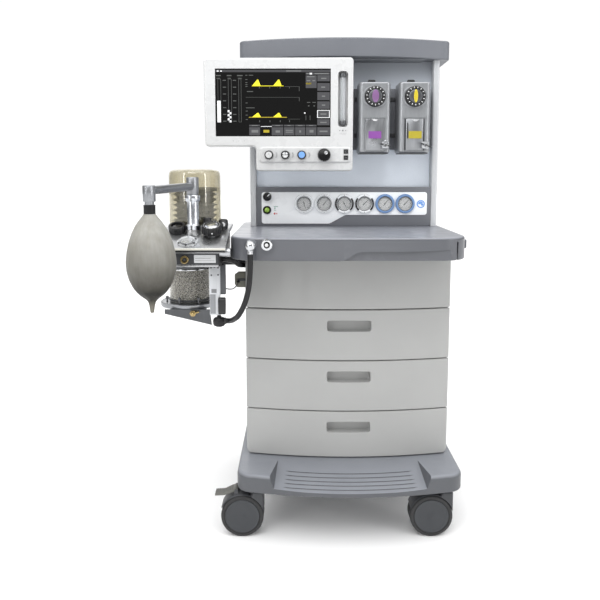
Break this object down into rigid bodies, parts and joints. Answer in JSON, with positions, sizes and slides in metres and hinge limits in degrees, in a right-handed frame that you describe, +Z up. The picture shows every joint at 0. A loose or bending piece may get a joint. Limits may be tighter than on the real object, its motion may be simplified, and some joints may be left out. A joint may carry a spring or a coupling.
{
  "type": "anesthesia machine",
  "caption": "Wheeled anesthesia machine with drawers, worktop, gauge panel, display head with flow controls, vaporizers and a circle absorber with bellows and breathing bag.",
  "frame": {"origin": "on the floor, below the middle of the bounding box", "axes": "+Z up, +X to the right seen from the front, -Y to the front"},
  "size_m": [0.9154, 0.8374, 1.4843],
  "materials": {
    "grey_moulding": "satin",
    "grey_block": "satin",
    "warm_white": "satin",
    "shell_paint": "satin",
    "white_plastic": "satin",
    "satin_aluminium": "satin",
    "panel_paint": "satin",
    "silver_enamel": "satin",
    "chrome": "polished",
    "black_plastic": "satin",
    "charcoal_plastic": "satin",
    "black_rubber": "matte",
    "tyre_black": "matte",
    "clear_glass": "gloss",
    "smoked_dome": "gloss",
    "bag_rubber": "matte",
    "soda_lime": "matte",
    "brass": "satin",
    "green_lamp": "gloss",
    "blue_plastic": "gloss",
    "olive_plastic": "matte"
  },
  "bodies": {
    "chassis": {"base_moulding": "grey_moulding", "cabinet_shell": "shell_paint", "top_panel": "warm_white", "worktop": "grey_moulding", "column_left": "satin_aluminium", "column_right": "satin_aluminium", "back_housing": "panel_paint", "canopy": "grey_moulding", "gauge_block": "grey_moulding", "gauge_fascia": "white_plastic", "power_lamp": "green_lamp", "monitor_housing": "white_plastic", "monitor_screen": "black_plastic", "flowmeter_tube": "clear_glass", "backbar": "grey_block", "vaporizer_1": "silver_enamel", "vaporizer_2": "silver_enamel", "gas_outlet": "chrome", "aux_outlet": "chrome", "absorber_manifold": "satin_aluminium", "absorber_bracket": "grey_block", "bellows_dome": "smoked_dome", "bag_post": "chrome", "canister_jar": "soda_lime", "canister_tray": "satin_aluminium", "hose_elbow": "black_rubber", "drain_valve": "brass", "machine_hose": "black_rubber", "fresh_gas_hose": "black_rubber", "sensor_plug": "olive_plastic", "sensor_cable": "black_plastic"},
    "drawer_1": {"drawer_1": "warm_white"},
    "drawer_2": {"drawer_2": "warm_white"},
    "drawer_3": {"drawer_3": "warm_white"},
    "castor_fork_fl": {"castor_fork_fl": "charcoal_plastic"},
    "castor_wheels_fl": {"castor_wheels_fl": "tyre_black"},
    "castor_fork_fr": {"castor_fork_fr": "charcoal_plastic"},
    "castor_wheels_fr": {"castor_wheels_fr": "tyre_black"},
    "castor_fork_rl": {"castor_fork_rl": "charcoal_plastic"},
    "castor_wheels_rl": {"castor_wheels_rl": "tyre_black"},
    "castor_fork_rr": {"castor_fork_rr": "charcoal_plastic"},
    "castor_wheels_rr": {"castor_wheels_rr": "tyre_black"},
    "brake_pedal": {"brake_pedal": "olive_plastic"},
    "power_switch": {"power_switch": "black_plastic"},
    "flow_knob_1": {"flow_knob_1": "white_plastic"},
    "flow_knob_2": {"flow_knob_2": "black_plastic"},
    "flow_knob_3": {"flow_knob_3": "blue_plastic"},
    "encoder_shaft": {"encoder_shaft": "chrome"},
    "encoder_knob": {"encoder_knob": "black_plastic"},
    "push_button_1": {"push_button_1": "black_plastic"},
    "push_button_2": {"push_button_2": "black_plastic"},
    "vaporizer_dial_1": {"vaporizer_dial_1": "black_plastic"},
    "vaporizer_lock_1": {"vaporizer_lock_1": "black_plastic"},
    "vaporizer_dial_2": {"vaporizer_dial_2": "black_plastic"},
    "vaporizer_lock_2": {"vaporizer_lock_2": "black_plastic"},
    "bag_arm": {"bag_arm": "satin_aluminium", "breathing_bag": "bag_rubber"},
    "apl_valve": {"apl_valve": "black_plastic"},
    "canister_lever": {"canister_lever": "black_plastic"},
    "bellows": {"bellows": "black_rubber"}
  },
  "joints": [
    {"name": "drawer_1_slide", "type": "slide", "parent": "chassis", "child": "drawer_1", "axis": [0, -1, 0], "range_m": [0, 0.33]},
    {"name": "drawer_2_slide", "type": "slide", "parent": "chassis", "child": "drawer_2", "axis": [0, -1, 0], "range_m": [0, 0.33]},
    {"name": "drawer_3_slide", "type": "slide", "parent": "chassis", "child": "drawer_3", "axis": [0, -1, 0], "range_m": [0, 0.33]},
    {"name": "castor_swivel_fl", "type": "hinge", "parent": "chassis", "child": "castor_fork_fl", "pos_m": [-0.1583, -0.1363, 0.15], "axis": [0, 0, 1], "continuous": true},
    {"name": "castor_roll_fl", "type": "hinge", "parent": "castor_fork_fl", "child": "castor_wheels_fl", "pos_m": [-0.1943, -0.1363, 0.0625], "axis": [0, 1, 0], "continuous": true},
    {"name": "castor_swivel_fr", "type": "hinge", "parent": "chassis", "child": "castor_fork_fr", "pos_m": [0.3957, -0.1363, 0.15], "axis": [0, 0, 1], "continuous": true},
    {"name": "castor_roll_fr", "type": "hinge", "parent": "castor_fork_fr", "child": "castor_wheels_fr", "pos_m": [0.3597, -0.1363, 0.0625], "axis": [0, 1, 0], "continuous": true},
    {"name": "castor_swivel_rl", "type": "hinge", "parent": "chassis", "child": "castor_fork_rl", "pos_m": [-0.1583, 0.3187, 0.15], "axis": [0, 0, 1], "continuous": true},
    {"name": "castor_roll_rl", "type": "hinge", "parent": "castor_fork_rl", "child": "castor_wheels_rl", "pos_m": [-0.1223, 0.3187, 0.0625], "axis": [0, 1, 0], "continuous": true},
    {"name": "castor_swivel_rr", "type": "hinge", "parent": "chassis", "child": "castor_fork_rr", "pos_m": [0.3957, 0.3187, 0.15], "axis": [0, 0, 1], "continuous": true},
    {"name": "castor_roll_rr", "type": "hinge", "parent": "castor_fork_rr", "child": "castor_wheels_rr", "pos_m": [0.3597, 0.3187, 0.0625], "axis": [0, 1, 0], "continuous": true},
    {"name": "brake_pedal_hinge", "type": "hinge", "parent": "castor_fork_fl", "child": "brake_pedal", "pos_m": [-0.2113, -0.1363, 0.1375], "axis": [0, -1, 0], "range_deg": [0, 12]},
    {"name": "power_switch_turn", "type": "hinge", "parent": "chassis", "child": "power_switch", "pos_m": [-0.1336, 0.1797, 0.9857], "axis": [0, 1, 0], "range_deg": [-90, 0]},
    {"name": "flow_knob_1_turn", "type": "hinge", "parent": "chassis", "child": "flow_knob_1", "pos_m": [-0.1213, 0.0587, 1.1178], "axis": [0, -1, 0], "range_deg": [0, 1080]},
    {"name": "flow_knob_2_turn", "type": "hinge", "parent": "chassis", "child": "flow_knob_2", "pos_m": [-0.0708, 0.0587, 1.1178], "axis": [0, -1, 0], "range_deg": [0, 1080]},
    {"name": "flow_knob_3_turn", "type": "hinge", "parent": "chassis", "child": "flow_knob_3", "pos_m": [-0.0201, 0.0587, 1.1178], "axis": [0, -1, 0], "range_deg": [0, 1080]},
    {"name": "encoder_push", "type": "slide", "parent": "chassis", "child": "encoder_shaft", "axis": [0, 1, 0], "range_m": [0, 0.0015], "stiffness_N_per_m": 400},
    {"name": "encoder_turn", "type": "hinge", "parent": "encoder_shaft", "child": "encoder_knob", "pos_m": [0.049, 0.0587, 1.1178], "axis": [0, -1, 0], "continuous": true},
    {"name": "push_button_1_press", "type": "slide", "parent": "chassis", "child": "push_button_1", "axis": [0, 1, 0], "range_m": [0, 0.0018], "stiffness_N_per_m": 400},
    {"name": "push_button_2_press", "type": "slide", "parent": "chassis", "child": "push_button_2", "axis": [0, 1, 0], "range_m": [0, 0.0018], "stiffness_N_per_m": 400},
    {"name": "vaporizer_dial_1_turn", "type": "hinge", "parent": "chassis", "child": "vaporizer_dial_1", "pos_m": [0.2072, 0.0837, 1.298], "axis": [0, 1, 0], "range_deg": [0, 300]},
    {"name": "vaporizer_lock_1_turn", "type": "hinge", "parent": "chassis", "child": "vaporizer_lock_1", "pos_m": [0.2002, 0.1237, 1.343], "axis": [0, 0, 1], "range_deg": [0, 90]},
    {"name": "vaporizer_dial_2_turn", "type": "hinge", "parent": "chassis", "child": "vaporizer_dial_2", "pos_m": [0.3312, 0.0837, 1.298], "axis": [0, 1, 0], "range_deg": [0, 300]},
    {"name": "vaporizer_lock_2_turn", "type": "hinge", "parent": "chassis", "child": "vaporizer_lock_2", "pos_m": [0.3242, 0.1237, 1.343], "axis": [0, 0, 1], "range_deg": [0, 90]},
    {"name": "bag_arm_swivel", "type": "hinge", "parent": "chassis", "child": "bag_arm", "pos_m": [-0.3232, -0.1513, 1.02], "axis": [0, 0, 1], "range_deg": [-65, 30]},
    {"name": "apl_valve_turn", "type": "hinge", "parent": "chassis", "child": "apl_valve", "pos_m": [-0.2693, -0.16894, 0.90744], "axis": [0, -0.3822, 0.9241], "range_deg": [-270, 0]},
    {"name": "canister_lever_hinge", "type": "hinge", "parent": "chassis", "child": "canister_lever", "pos_m": [-0.2413, -0.1898, 0.7083], "axis": [-1, 0, 0], "range_deg": [0, 60]},
    {"name": "bellows_stroke", "type": "slide", "parent": "chassis", "child": "bellows", "axis": [0, 0, 1], "range_m": [-0.06, 0.03], "deforming": ["bellows"]}
  ]
}
